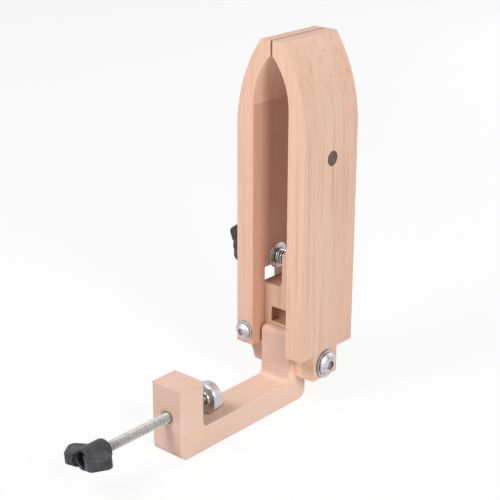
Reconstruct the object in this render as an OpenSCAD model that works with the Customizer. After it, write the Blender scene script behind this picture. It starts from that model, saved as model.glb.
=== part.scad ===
// Table clamp for hand stitching leather: two tall wooden jaws that a knob squeezes together,
// on a tilting head, on a wooden arm with a screw clamp for the edge of a table.
// The origin is on the underside of the arm, in the middle of its width, straight under the
// front face of the leg. +Z runs up to the jaw tips and -Y runs out to the clamp screw.

/* [Jaws] */
// Width of each jaw along the stitching edge
jaw_w = 47; // [42:1:60]
// Thickness of each jaw board
jaw_t = 11.9; // [11:0.1:15]
// Clear space between the two jaw boards
jaw_gap = 25.4; // [24.8:0.1:30]
// Length of each jaw board from its lower edge to its tip
jaw_len = 183.8; // [165:0.1:240]
// Thickness of each jaw at its tip
tip_t = 7.1; // [5:0.1:9]
// Gap left between the two tips
tip_gap = 1; // [0.9:0.1:3]
// Height of the flat gripping faces below the tips
grip_h = 8.1; // [4:0.1:12]
// Height below the tips where the inner faces start to curve in
inner_curve_h = 37.5; // [32:0.5:48]
// Height below the tips where the outer faces start to curve in
outer_curve_h = 52; // [40:1:70]
// Distance from the front edge of the jaws back to the tilt pivot
pivot_setback = 22.35; // [19:0.05:26]
// Width of the fixed jaw's ear and of the centre block
ear_w = 21.9; // [21:0.1:26]
// Height of the slot in the moving jaw above the board's lower edge
slot_h = 46.3; // [42:0.1:47]

/* [Centre block] */
// Height of the block's shoulder above the lower edge of the boards
shoulder_h = 36.9; // [34:0.1:40]
// How far the shoulder reaches into the slot of the moving jaw
shoulder_in = 2.7; // [1:0.1:5]
// Thickness of the block's prong beside the fixed jaw
prong_t = 12.7; // [11:0.1:13.5]
// Radius of the prong's rounded top
prong_round = 16; // [14:0.5:20]
// Radius of the corner between the prong and the shoulder
prong_fillet = 3; // [1:0.5:4]
// Distance from the tongue's face in to the outer face of the moving jaw
tongue_in = 1.2; // [0.5:0.1:2]
// Height of the slanted face under the shoulder
tongue_slope_h = 8; // [4:0.5:10]
// How much higher the tongue ends than the ear of the fixed jaw
tongue_short = 1.8; // [0:0.1:3]
// Width of the chamfer at the foot of the tongue
tongue_chamfer_w = 3; // [1:0.1:4]
// Height of the chamfer at the foot of the tongue
tongue_chamfer_h = 8.6; // [4:0.1:10]
// Width of the pocket in the front of the block
pocket_w = 15.4; // [10:0.1:17]
// Height of the pocket
pocket_h = 9.5; // [6:0.1:11]
// Depth of the pocket
pocket_d = 5.7; // [2:0.1:7]
// Wood left between the pocket and the top of the leg's slot
pocket_sill = 1.6; // [1.2:0.1:3]
// Radius of the glue dowels between the block and the fixed jaw
dowel_r = 3; // [2:0.25:3]
// Length of the glue dowels
dowel_l = 17; // [12:0.5:20]
// Distance between the two glue dowels
dowel_pitch = 11; // [8:0.5:13]
// Height of the glue dowels under the shoulder
dowel_drop = 7; // [5:0.5:8]

/* [Arm] */
// Width of the arm
arm_w = 20.9; // [18:0.1:21]
// Thickness of the arm's bar
bar_t = 14.6; // [12:0.1:15.1]
// Clear distance between the leg and the end block
throat = 72.75; // [66:0.25:110]
// Thickness of the end block
end_t = 17.9; // [15:0.1:25]
// Height of the end block
end_h = 42.9; // [36:0.1:52]
// Thickness of the leg
leg_t = 15.65; // [13:0.05:16]
// Radius of the leg's front corner at the top
leg_top_r = 3.5; // [1:0.5:6]
// Radius of the inside corners of the arm
corner_r = 3.5; // [2:0.5:6]
// Radius of the heel and of the lower front corner
heel_r = 5.5; // [2:0.5:8]

/* [Tilt pivot] */
// Distance from the front face of the leg to the tilt pivot
pivot_y = 16.5; // [14:0.1:20]
// Height of the tilt pivot above the underside
pivot_h = 25.9; // [24:0.1:32]
// Distance from the pivot up to the top of the leg
tang_r = 19.4; // [17:0.1:21]
// Distance from the pivot down to the foot of the ear
ear_r = 8.4; // [8:0.1:12]
// Distance from the pivot up to the lower edge of the boards
board_rise = 7.8; // [6:0.1:10]
// Radius of the pivot bolt
pivot_r = 4; // [3:0.5:5]
// Radius of the pivot bolt's head
pivot_head_r = 7; // [6:0.5:7.5]
// Height of the pivot bolt's head
pivot_head_h = 3.6; // [3:0.1:5]
// Radius of the washer under the pivot bolt's head
pivot_washer_r = 8.5; // [8:0.1:10]
// Thickness of the pivot washer
pivot_washer_t = 1.3; // [0.8:0.1:2]
// Radius of the threaded insert at the end of the pivot bolt
pivot_insert_r = 5.6; // [5.6:0.1:6.5]
// Length of the threaded insert at the end of the pivot bolt
pivot_insert_l = 9; // [6:0.5:10]

/* [Jaw hinge] */
// Height of the jaw's hinge above the lower edge of the boards
hinge_rise = 7.9; // [7:0.1:12]
// Radius of the hinge screw
hinge_r = 3; // [2.5:0.25:3.5]
// Radius of the hinge screw's head
hinge_head_r = 5; // [4.5:0.25:5.5]
// Height of the hinge screw's head
hinge_head_h = 3; // [2:0.1:4]
// Radius of the two hinge washers
hinge_washer_r = 6.15; // [5.8:0.05:7]
// Thickness of the hinge washers
hinge_washer_t = 1; // [0.6:0.1:1.6]
// Width of the hinge nut across its flats
hinge_nut_w = 10; // [8:0.5:11]
// Height of the hinge nut's hexagon
hinge_nut_h = 4.6; // [3:0.1:6]
// Height of the round collar on the hinge nut
hinge_collar_h = 1.6; // [1:0.1:3]

/* [Jaw bolt] */
// Height of the jaw bolt above the lower edge of the boards
bolt_rise = 51.1; // [50:0.1:54]
// Radius of the jaw bolt and of the clamp screw
bolt_r = 3; // [2.5:0.25:3]
// Radius of the hole for the bolt in the moving jaw
bolt_slack_r = 4.3; // [4:0.1:5]
// Radius of the hole for the bolt in the prong
bolt_hole_r = 3.3; // [3.2:0.1:4]
// Radius of the threaded insert in the fixed jaw
jaw_insert_r = 4.6; // [4:0.1:6]
// Length of the threaded insert in the fixed jaw
jaw_insert_l = 9; // [6:0.1:9.5]
// Radius of the washer under the jaw knob
knob_washer_r = 8; // [7:0.1:10]
// Thickness of the washer under the jaw knob
knob_washer_t = 2; // [0.8:0.1:2.4]
// Radius of the washer that the spring rests on
spring_washer_r = 7.8; // [6:0.1:9]
// Radius of the hole in the spring's washer
spring_washer_hole_r = 3.7; // [3.6:0.05:3.8]
// Thickness of the spring's washer
spring_washer_t = 1.2; // [0.8:0.1:2]

/* [Spring] */
// Outer diameter of the spring
spring_d = 8.6; // [8.4:0.1:10]
// Diameter of the spring's wire
spring_wire = 1; // [0.8:0.05:1.1]
// Number of curls in the spring
spring_turns = 5; // [4:1:6]

/* [Clamp screw] */
// Height of the clamp screw above the underside
screw_h = 24.1; // [23.9:0.1:32]
// Distance from the end block out to the knob
screw_out = 45.2; // [42:0.1:70]
// Radius of the pressure disc
disc_r = 9; // [7:0.1:9.5]
// Thickness of the pressure disc
disc_t = 6; // [5:0.1:8]
// Width of the chamfer round the back of the pressure disc
disc_chamfer = 0.9; // [0.3:0.1:1.5]
// Radius of the boss on the back of the pressure disc
boss_r = 4.4; // [4.3:0.1:6]
// Height of the boss on the back of the pressure disc
boss_h = 1.1; // [0.5:0.1:2]
// Distance from the end block to the back of the pressure disc
disc_gap = 11.55; // [10:0.05:20]
// Radius of the threaded insert in the end block
clamp_insert_r = 5; // [4:0.1:6]
// Length of the threaded insert in the end block
clamp_insert_l = 13; // [8:0.5:14]

/* [Knobs] */
// Length of the knob's hub
knob_hub_l = 16; // [15:0.5:18]
// Radius of the hub where it meets the bolt
knob_base_r = 5.4; // [4.5:0.1:6.2]
// Radius of the hub
knob_hub_r = 6.4; // [5.8:0.1:7]
// Radius of the hub's far rim
knob_rim_r = 6.1; // [5.8:0.1:7]
// Depth of the round hollow in the hub's far end
knob_dish_d = 4.5; // [1:0.5:5]
// Radius of that hollow
knob_dish_r = 4.4; // [4:0.1:5]
// Distance from the axis to the tip of a wing
wing_reach = 15.6; // [14:0.1:20]
// Distance from the hub's base to the far edge of a wing
wing_far = 19.6; // [18.5:0.1:24]
// Thickness of a wing at its root
wing_root_t = 8; // [7:0.1:10]
// Thickness of a wing at its tip
wing_tip_t = 6; // [4:0.1:7]
// Width across the flats of the nut moulded into the knob
knob_nut_w = 8; // [7.5:0.1:8.5]
// Length of the nut moulded into the knob
knob_nut_l = 9; // [6:0.5:11]
// Turn of the jaw knob's wings from upright, in degrees
jaw_knob_turn = -12; // [-90:1:90]
// Turn of the clamp knob's wings from level, in degrees
clamp_knob_turn = 6; // [-90:1:90]

/* [Needle magnet] */
// Radius of the magnet
magnet_r = 4.4; // [3:0.1:6]
// Thickness of the magnet
magnet_t = 3; // [2:0.1:5]
// How far the magnet lies below the face of the jaw
magnet_sink = 0.4; // [0.1:0.1:1]
// Height of the magnet above the lower edge of the boards
magnet_rise = 117.3; // [80:0.1:125]
// Distance from the front edge of the jaw to the magnet
magnet_setback = 24.7; // [15:0.1:32]

/* [Fits] */
// Radial clearance where one piece turns in another
run_fit = 0.05; // [0.03:0.01:0.08]
// Clearance beside the tongue in the slot of the moving jaw
slot_fit = 0.25; // [0.1:0.05:0.5]
// Clearance beside the leg in its slot
tang_fit = 0.15; // [0.1:0.05:0.3]
// Clearance over the top of the leg in its slot
crotch_fit = 0.4; // [0.2:0.05:0.8]
// Gap between the moving jaw and the washer under its knob
washer_fit = 0.15; // [0.12:0.01:0.3]

/* [Hidden] */

// Number of sides on round pieces, on large curves and on rounded corners
round_fn = 64;
curve_fn = 160;
corner_steps = 8;

// Overrun of every cut past the face that it opens
over = 1;

// Colours of the finishes
wood_colour = [0.89, 0.74, 0.62];
block_colour = [0.84, 0.69, 0.57];
arm_colour = [0.90, 0.77, 0.65];
steel_colour = [0.78, 0.78, 0.80];
plastic_colour = [0.16, 0.16, 0.17];
brass_colour = [0.78, 0.66, 0.38];
magnet_colour = [0.35, 0.36, 0.37];

// Faces of the two jaw boards, measured from the middle plane
inner_x = jaw_gap / 2;
outer_x = inner_x + jaw_t;
middle_x = inner_x + jaw_t / 2;

// Heights on the head
ear_z = pivot_h - ear_r;
board_z = pivot_h + board_rise;
tip_z = board_z + jaw_len;
grip_z = tip_z - grip_h;
shoulder_z = board_z + shoulder_h;
slot_z = board_z + slot_h;
hinge_z = board_z + hinge_rise;
bolt_z = board_z + bolt_rise;
magnet_z = board_z + magnet_rise;
dowel_z = shoulder_z - dowel_drop;
leg_z = pivot_h + tang_r;
crotch_z = leg_z + crotch_fit;
pocket_z = crotch_z + pocket_sill;
tongue_z = ear_z + tongue_short;

// Places from front to back
front_y = pivot_y - pivot_setback;
back_y = front_y + jaw_w;
block_front_y = pivot_y - ear_w / 2;
magnet_y = front_y + magnet_setback;
slot_w = ear_w + 2 * slot_fit;

// Curves of the jaws: each arc is tangent to a straight face and ends at the tip
grip_x = tip_gap / 2;
tip_x = grip_x + tip_t;
inner_rise = inner_curve_h - grip_h;
inner_run = inner_x - grip_x;
inner_r = (inner_rise * inner_rise + inner_run * inner_run) / (2 * inner_run);
outer_run = outer_x - tip_x;
outer_r = (outer_curve_h * outer_curve_h + outer_run * outer_run) / (2 * outer_run);
inner_arc_z = tip_z - inner_curve_h;
outer_arc_z = tip_z - outer_curve_h;

// Faces of the centre block across its width
prong_x = inner_x - prong_t;
tongue_x = outer_x - tongue_in;
shoulder_x = inner_x + shoulder_in;
slope_z = hinge_z + hinge_washer_r;
slope_top_z = slope_z + tongue_slope_h;
cheek_x = arm_w / 2 + tang_fit;

// Places along the arm
end_in_y = -throat;
end_out_y = end_in_y - end_t;

// Shares that shape the head of a screw: its socket, its rim and the height of its dome
socket_w_share = 1.3;
socket_d_share = 0.6;
rim_share = 0.2;
dome_share = 0.92;

// Pivot bolt and its insert in the tongue
pivot_head_x = outer_x + pivot_washer_t;
pivot_insert_x = -cheek_x - pivot_insert_l;
pivot_end_x = pivot_insert_x + run_fit;
pivot_socket_w = pivot_r * socket_w_share;
pivot_socket_d = pivot_head_h * socket_d_share;

// Hinge screw along Y, and the share of the nut's width in its round collar
collar_share = 0.45;
hinge_head_y = front_y - hinge_washer_t;
hinge_nut_y = back_y + hinge_washer_t;
hinge_end_y = hinge_nut_y + hinge_nut_h + hinge_collar_h;
hinge_collar_r = hinge_nut_w * collar_share;
hinge_socket_w = hinge_r * socket_w_share;
hinge_socket_d = hinge_head_h * socket_d_share;

// Jaw bolt and what it carries along X
knob_washer_x = -outer_x - washer_fit;
knob_base_x = knob_washer_x - knob_washer_t;
spring_washer_x = -inner_x + spring_washer_t;
jaw_insert_end_x = inner_x + jaw_insert_l;
bolt_end_x = jaw_insert_end_x - bolt_r / 2;

// Shares of the disc in front of the screw's end, and of the screw in its groove and its clip
disc_skin_share = 0.2;
groove_share = 0.8;
clip_share = 1.2;

// Clamp screw and what it carries along Y
disc_back_y = end_in_y + disc_gap;
disc_front_y = disc_back_y + disc_t;
boss_y = disc_back_y - boss_h;
screw_end_y = disc_front_y - disc_t * disc_skin_share;
clamp_base_y = end_out_y - screw_out;
groove_r = bolt_r * groove_share;
clip_r = bolt_r * clip_share;
clip_w = bolt_r / 3;
clip_y = disc_back_y + clip_w;

// Shares of the hub in its foot and its straight part, and in the root of a wing
foot_share = 0.08;
straight_share = 0.6;
root_r_share = 0.95;
root_z_share = 0.72;

// Shares of a wing's reach and far edge that place its two outer corners
corner_share = 0.21;
tip_share = 0.54;

// Corners of a wing
wing_root_x = knob_hub_r / 2;
wing_root_r = knob_hub_r * root_r_share;
wing_root_z = knob_hub_l * root_z_share;
wing_corner_r = wing_reach * corner_share;
wing_tip_x = wing_reach - wing_corner_r;
wing_tip_z = wing_far * tip_share;
wing_far_x = wing_reach * tip_share;
wing_far_z = wing_far - wing_corner_r;
hull_fn = 32;

// Where the nut starts in a knob, and how far a bolt stands in it
knob_nut_z = knob_hub_l - knob_dish_d - knob_nut_l;
knob_embed = knob_hub_l - knob_dish_d;

// Points of an arc about c, from angle a0 to angle a1
function arc(c, r, a0, a1) = [
    for (i = [0:corner_steps])
    let (a = a0 + (a1 - a0) * i / corner_steps)
    [c[0] + r * cos(a), c[1] + r * sin(a)]
];

// Cylinder along X from x0 to x1
module rod_x(x0, x1, r, y, z) {
    translate([x0, y, z])
    rotate([0, 90, 0])
    cylinder(h = x1 - x0, r = r, $fn = round_fn);
}

// Cylinder along Y from y0 to y1
module rod_y(y0, y1, r, x, z) {
    translate([x, y1, z])
    rotate([90, 0, 0])
    cylinder(h = y1 - y0, r = r, $fn = round_fn);
}

// Six-sided prism that stands on z = 0, w wide across its flats
module hexagon(w, h) {
    cylinder(h = h, d = w / cos(30), $fn = 6);
}

// Shape drawn in X and Z and drawn out along Y from y0 to y1
module slab_y(y0, y1) {
    translate([0, y1, 0])
    rotate([90, 0, 0])
    linear_extrude(height = y1 - y0)
    children();
}

// Shape drawn in Y and Z and drawn out along X, w wide about the middle plane
module slab_x(w) {
    rotate([90, 0, 90])
    linear_extrude(height = w, center = true)
    children();
}

// Side view of one jaw board on the +X side
module jaw_outline() {
    difference() {
        intersection() {
            translate([grip_x, board_z])
            square([outer_x - grip_x, jaw_len]);
            union() {
                translate([0, board_z])
                square([outer_x, jaw_len - outer_curve_h]);
                translate([outer_x - outer_r, outer_arc_z])
                circle(r = outer_r, $fn = curve_fn * 4);
            }
        }
        translate([0, board_z - over])
        square([inner_x, inner_arc_z - board_z + over]);
        intersection() {
            translate([inner_x - inner_r, inner_arc_z])
            circle(r = inner_r, $fn = curve_fn * 2);
            translate([0, inner_arc_z - over])
            square([inner_x, grip_z - inner_arc_z + over]);
        }
    }
}

// Board of one jaw on the +X side
module jaw_board() {
    slab_y(front_y, back_y)
    jaw_outline();
}

// Hinge holes through the moving jaw and the tongue
module hinge_bore() {
    rod_y(front_y - over, back_y + over, hinge_r + run_fit, -middle_x, hinge_z);
}

// Jaw on the right, with its ear beside the leg
module fixed_jaw() {
    color(wood_colour)
    difference() {
        union() {
            jaw_board();
            translate([inner_x, block_front_y, ear_z])
            cube([jaw_t, ear_w, board_z - ear_z + over]);
        }
        rod_x(inner_x - over, outer_x + over, pivot_r + run_fit, pivot_y, pivot_h);
        rod_x(inner_x - over, jaw_insert_end_x + run_fit, jaw_insert_r + run_fit, pivot_y, bolt_z);
        rod_x(
            outer_x - magnet_sink - magnet_t, outer_x + over,
            magnet_r + run_fit, magnet_y, magnet_z
        );
        dowel_holes();
    }
}

// Jaw on the left, with the slot for the tongue
module moving_jaw() {
    color(wood_colour)
    difference() {
        mirror([1, 0, 0])
        jaw_board();
        translate([-outer_x - over, pivot_y - slot_w / 2, board_z - over])
        cube([jaw_t + 2 * over, slot_w, slot_h + over]);
        hinge_bore();
        rod_x(-outer_x - over, -inner_x + over, bolt_slack_r, pivot_y, bolt_z);
    }
}

// Side view of the centre block
module block_outline() {
    polygon([
        [inner_x, ear_z],
        [inner_x, shoulder_z],
        [-shoulder_x, shoulder_z],
        [-shoulder_x, slope_top_z],
        [-tongue_x, slope_z],
        [-tongue_x, tongue_z + tongue_chamfer_h],
        [-tongue_x + tongue_chamfer_w, tongue_z],
        [-cheek_x, tongue_z],
        [-cheek_x, ear_z]
    ]);
}

// Side view of the prong, with its rounded top and the corner at its foot
module prong_outline() {
    intersection() {
        translate([prong_x, shoulder_z - over])
        square([prong_t, bolt_z + prong_round - shoulder_z + over]);
        union() {
            translate([prong_x, shoulder_z - over])
            square([prong_t, bolt_z - shoulder_z + over]);
            translate([prong_x + prong_round, bolt_z])
            circle(r = prong_round, $fn = curve_fn);
        }
    }
    difference() {
        translate([prong_x - prong_fillet, shoulder_z - over])
        square([prong_fillet + over, prong_fillet + over]);
        translate([prong_x - prong_fillet, shoulder_z + prong_fillet])
        circle(r = prong_fillet, $fn = round_fn);
    }
}

// Block glued to the fixed jaw: it straddles the leg and carries the moving jaw's hinge
module centre_block() {
    color(block_colour)
    difference() {
        slab_y(block_front_y, block_front_y + ear_w) {
            block_outline();
            prong_outline();
        }
        translate([-cheek_x, block_front_y - over, ear_z - over])
        cube([2 * cheek_x, ear_w + 2 * over, crotch_z - ear_z + over]);
        translate([-pocket_w / 2, block_front_y - over, pocket_z])
        cube([pocket_w, pocket_d + over, pocket_h]);
        rod_x(0, inner_x + over, pivot_r + run_fit, pivot_y, pivot_h);
        rod_x(
            pivot_insert_x - run_fit, 0,
            pivot_insert_r + run_fit, pivot_y, pivot_h
        );
        hinge_bore();
        rod_x(prong_x - over, inner_x + over, bolt_hole_r, pivot_y, bolt_z);
        dowel_holes();
    }
}

// Holes for the glue dowels in the block and in the fixed jaw
module dowel_holes() {
    for (side = [-1, 1])
        rod_x(
            inner_x - dowel_l / 2 - run_fit, inner_x + dowel_l / 2 + run_fit,
            dowel_r + run_fit, pivot_y + side * dowel_pitch / 2, dowel_z
        );
}

// Two dowels that lock the glued joint
module block_dowels() {
    color(arm_colour)
    for (side = [-1, 1])
        rod_x(
            inner_x - dowel_l / 2, inner_x + dowel_l / 2,
            dowel_r, pivot_y + side * dowel_pitch / 2, dowel_z
        );
}

// Side view of the arm: end block, bar, leg and the round tang behind the pivot
module arm_outline() {
    pivot = [pivot_y, pivot_h];
    tang_foot_angle = -acos((leg_t - pivot_y) / ear_r);
    tang_back_angle = acos(ear_r / tang_r);
    polygon(concat(
        arc([end_out_y + heel_r, heel_r], heel_r, 180, 270),
        arc([leg_t - heel_r, heel_r], heel_r, 270, 360),
        arc(pivot, ear_r, tang_foot_angle, 0),
        arc(pivot, tang_r, tang_back_angle, 90),
        arc([leg_top_r, leg_z - leg_top_r], leg_top_r, 90, 180),
        arc([-corner_r, bar_t + corner_r], corner_r, 360, 270),
        arc([end_in_y + corner_r, bar_t + corner_r], corner_r, 270, 180),
        [[end_in_y, end_h], [end_out_y, end_h]]
    ));
}

// Wooden arm that hooks round the edge of a table
module arm() {
    color(arm_colour)
    difference() {
        slab_x(arm_w)
        arm_outline();
        rod_x(-arm_w, arm_w, pivot_r + run_fit, pivot_y, pivot_h);
        rod_y(end_out_y - over, end_in_y + over, bolt_hole_r, 0, screw_h);
        rod_y(
            end_out_y - over, end_out_y + clamp_insert_l + run_fit,
            clamp_insert_r + run_fit, 0, screw_h
        );
    }
}

// Domed head of a socket screw, standing on z = 0
module domed_head(r, h, socket_w, socket_d) {
    rim_h = h * rim_share;
    dome_h = h - rim_h;
    dome_r = (r * r + dome_h * dome_h) / (2 * dome_h);
    difference() {
        union() {
            cylinder(h = rim_h, r = r, $fn = round_fn);
            intersection() {
                translate([0, 0, rim_h])
                cylinder(h = dome_h * dome_share, r = r, $fn = round_fn);
                translate([0, 0, h - dome_r])
                sphere(r = dome_r, $fn = round_fn);
            }
        }
        translate([0, 0, h - socket_d])
        hexagon(socket_w, socket_d + over);
    }
}

// Bolt that the head tilts on
module pivot_bolt() {
    color(steel_colour) {
        rod_x(pivot_end_x, pivot_head_x, pivot_r, pivot_y, pivot_h);
        translate([pivot_head_x, pivot_y, pivot_h])
        rotate([0, 90, 0])
        domed_head(pivot_head_r, pivot_head_h, pivot_socket_w, pivot_socket_d);
    }
}

// Washer under the head of the pivot bolt
module pivot_washer() {
    color(steel_colour)
    difference() {
        rod_x(outer_x, pivot_head_x, pivot_washer_r, pivot_y, pivot_h);
        rod_x(outer_x - over, pivot_head_x + over, pivot_r + run_fit, pivot_y, pivot_h);
    }
}

// Threaded insert in the tongue, at the end of the pivot bolt
module pivot_insert() {
    color(brass_colour)
    difference() {
        rod_x(pivot_insert_x, -cheek_x, pivot_insert_r, pivot_y, pivot_h);
        rod_x(pivot_insert_x - over, -cheek_x + over, pivot_r + run_fit, pivot_y, pivot_h);
    }
}

// Screw that the moving jaw swings on
module hinge_screw() {
    color(steel_colour) {
        rod_y(hinge_head_y, hinge_end_y, hinge_r, -middle_x, hinge_z);
        translate([-middle_x, hinge_head_y, hinge_z])
        rotate([90, 0, 0])
        domed_head(hinge_head_r, hinge_head_h, hinge_socket_w, hinge_socket_d);
    }
}

// Washer round the hinge screw, on the face at y0
module hinge_washer(y0) {
    difference() {
        rod_y(y0, y0 + hinge_washer_t, hinge_washer_r, -middle_x, hinge_z);
        rod_y(
            y0 - over, y0 + hinge_washer_t + over,
            hinge_r + run_fit, -middle_x, hinge_z
        );
    }
}

// Washers at the front and at the back of the moving jaw
module hinge_washers() {
    color(steel_colour) {
        hinge_washer(hinge_head_y);
        hinge_washer(back_y);
    }
}

// Lock nut on the end of the hinge screw
module hinge_nut() {
    color(steel_colour)
    difference() {
        union() {
            translate([-middle_x, hinge_nut_y + hinge_nut_h, hinge_z])
            rotate([90, 0, 0])
            hexagon(hinge_nut_w, hinge_nut_h);
            rod_y(
                hinge_nut_y + hinge_nut_h - over / 2, hinge_end_y,
                hinge_collar_r, -middle_x, hinge_z
            );
        }
        rod_y(
            hinge_nut_y - over, hinge_end_y + over,
            hinge_r + run_fit, -middle_x, hinge_z
        );
    }
}

// Long bolt that pulls the moving jaw towards the fixed jaw
module jaw_bolt() {
    color(steel_colour)
    rod_x(knob_base_x - knob_embed, bolt_end_x, bolt_r, pivot_y, bolt_z);
}

// Wing of a knob, from the hub to its tip
module wing() {
    hull() {
        translate([wing_root_x, 0, wing_root_z])
        rotate([90, 0, 0])
        cylinder(h = wing_root_t, r = wing_root_r, center = true, $fn = hull_fn);
        for (place = [[wing_tip_x, 0, wing_tip_z], [wing_far_x, 0, wing_far_z]])
            translate(place)
            rotate([90, 0, 0])
            cylinder(h = wing_tip_t, r = wing_corner_r, center = true, $fn = hull_fn);
    }
}

// Plastic knob with two wings, its axis along Z and its base at z = 0
module wing_knob() {
    dish_z = knob_hub_l - knob_dish_d;
    difference() {
        union() {
            rotate_extrude($fn = round_fn)
            polygon([
                [0, 0],
                [knob_base_r, 0],
                [knob_hub_r, knob_hub_l * foot_share],
                [knob_hub_r, knob_hub_l * straight_share],
                [knob_rim_r, knob_hub_l],
                [0, knob_hub_l]
            ]);
            wing();
            mirror([1, 0, 0])
            wing();
        }
        translate([0, 0, dish_z])
        cylinder(h = wing_far, r = knob_dish_r, $fn = round_fn);
        translate([0, 0, -over])
        cylinder(h = dish_z + 2 * over, r = bolt_r + run_fit, $fn = round_fn);
        translate([0, 0, knob_nut_z])
        hexagon(knob_nut_w + 2 * run_fit, knob_nut_l + over);
    }
}

// Nut moulded into a knob, in the knob's own frame
module knob_nut() {
    difference() {
        translate([0, 0, knob_nut_z])
        hexagon(knob_nut_w, knob_nut_l);
        translate([0, 0, knob_nut_z - over])
        cylinder(h = knob_nut_l + 2 * over, r = bolt_r + run_fit, $fn = round_fn);
    }
}

// Moves a knob's own frame to the outer end of the jaw bolt
module at_jaw_bolt() {
    translate([knob_base_x, pivot_y, bolt_z])
    rotate([0, -90, 0])
    rotate([0, 0, jaw_knob_turn])
    children();
}

// Moves a knob's own frame to the outer end of the clamp screw
module at_clamp_screw() {
    translate([0, clamp_base_y, screw_h])
    rotate([90, 0, 0])
    rotate([0, 0, clamp_knob_turn])
    children();
}

// Knob that opens and closes the jaws
module jaw_knob() {
    color(plastic_colour)
    at_jaw_bolt()
    wing_knob();
}

// Nut in the jaw knob
module jaw_knob_nut() {
    color(brass_colour)
    at_jaw_bolt()
    knob_nut();
}

// Washer between the jaw knob and the moving jaw
module knob_washer() {
    color(steel_colour)
    difference() {
        rod_x(knob_base_x, knob_washer_x, knob_washer_r, pivot_y, bolt_z);
        rod_x(knob_base_x - over, knob_washer_x + over, bolt_r + run_fit, pivot_y, bolt_z);
    }
}

// Washer between the moving jaw and the spring
module spring_washer() {
    color(steel_colour)
    difference() {
        rod_x(-inner_x, spring_washer_x, spring_washer_r, pivot_y, bolt_z);
        rod_x(
            -inner_x - over, spring_washer_x + over,
            spring_washer_hole_r, pivot_y, bolt_z
        );
    }
}

// Rings on each curl of the spring and sides on its wire
spring_rings = 8;
spring_sides = 6;
spring_r = (spring_d - spring_wire) / 2;
spring_count = spring_turns * spring_rings;
spring_x0 = spring_washer_x;
spring_x1 = prong_x;
spring_coil_l = spring_x1 - spring_x0 - 2 * spring_wire;

// Angle and point of ring i on the curls
function spring_angle(i) = 360 * i / spring_rings;
function spring_point(x, i) = [
    x,
    pivot_y + spring_r * cos(spring_angle(i)),
    bolt_z + spring_r * sin(spring_angle(i))
];

// Middle line of the wire: a straight end, the curls and a straight end
spring_path = concat(
    [spring_point(spring_x0, 0)],
    [
        for (i = [0:spring_count])
        spring_point(spring_x0 + spring_wire + spring_coil_l * i / spring_count, i)
    ],
    [spring_point(spring_x1, spring_count)]
);
spring_last = len(spring_path) - 1;

// Direction of the wire at point i, and the two directions across it
function unit(v) = v / norm(v);
function spring_dir(i) =
    i == 0 || i == spring_last ? [1, 0, 0]
    : unit(unit(spring_path[i + 1] - spring_path[i]) + unit(spring_path[i] - spring_path[i - 1]));
function spring_out(i) =
    let (
        a = spring_angle(min(max(i - 1, 0), spring_count)),
        n = [0, cos(a), sin(a)],
        t = spring_dir(i)
    )
    unit(n - (n * t) * t);

// Corners of the wire's section at point i
function spring_ring(i) =
    let (n = spring_out(i), m = cross(spring_dir(i), n))
    [
        for (k = [0:spring_sides - 1])
        let (b = 360 * k / spring_sides)
        spring_path[i] + spring_wire / 2 * (cos(b) * n + sin(b) * m)
    ];

// Least gap between one curl and another, measured on the points of the middle line
spring_gap = min([
    for (i = [0:spring_last])
    for (j = [i + spring_rings / 2:1:spring_last])
    norm(spring_path[i] - spring_path[j]) - spring_wire
]);
echo(str("Least gap between the curls of the spring, in mm: ", spring_gap));

// Spring that pushes the jaws apart
module spring() {
    points = [for (i = [0:spring_last]) each spring_ring(i)];
    sides = [
        for (i = [0:spring_last - 1])
        for (k = [0:spring_sides - 1])
        let (
            a = i * spring_sides + k,
            b = i * spring_sides + (k + 1) % spring_sides,
            c = a + spring_sides,
            d = b + spring_sides
        )
        each [[a, b, d], [a, d, c]]
    ];
    last = spring_last * spring_sides;
    caps = [
        for (k = [1:spring_sides - 2])
        each [[0, k + 1, k], [last, last + k, last + k + 1]]
    ];
    color(steel_colour)
    polyhedron(points = points, faces = concat(sides, caps));
}

// Threaded insert for the jaw bolt
module jaw_insert() {
    color(brass_colour)
    difference() {
        rod_x(inner_x, jaw_insert_end_x, jaw_insert_r, pivot_y, bolt_z);
        rod_x(inner_x - over, jaw_insert_end_x + over, bolt_r + run_fit, pivot_y, bolt_z);
    }
}

// Magnet that holds needles on the outside of the fixed jaw
module needle_magnet() {
    color(magnet_colour)
    rod_x(
        outer_x - magnet_sink - magnet_t, outer_x - magnet_sink,
        magnet_r, magnet_y, magnet_z
    );
}

// Threaded rod of the table clamp, with a groove for the clip
module clamp_screw() {
    color(steel_colour)
    difference() {
        rod_y(clamp_base_y - knob_embed, screw_end_y, bolt_r, 0, screw_h);
        difference() {
            rod_y(clip_y - run_fit, clip_y + clip_w + run_fit, bolt_r + over, 0, screw_h);
            rod_y(clip_y - over, clip_y + clip_w + over, groove_r, 0, screw_h);
        }
    }
}

// Threaded insert for the clamp screw
module clamp_insert() {
    color(brass_colour)
    difference() {
        rod_y(end_out_y, end_out_y + clamp_insert_l, clamp_insert_r, 0, screw_h);
        rod_y(end_out_y - over, end_out_y + clamp_insert_l + over, bolt_r + run_fit, 0, screw_h);
    }
}

// Knob that turns the clamp screw
module clamp_knob() {
    color(plastic_colour)
    at_clamp_screw()
    wing_knob();
}

// Nut in the clamp knob
module clamp_knob_nut() {
    color(brass_colour)
    at_clamp_screw()
    knob_nut();
}

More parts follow.
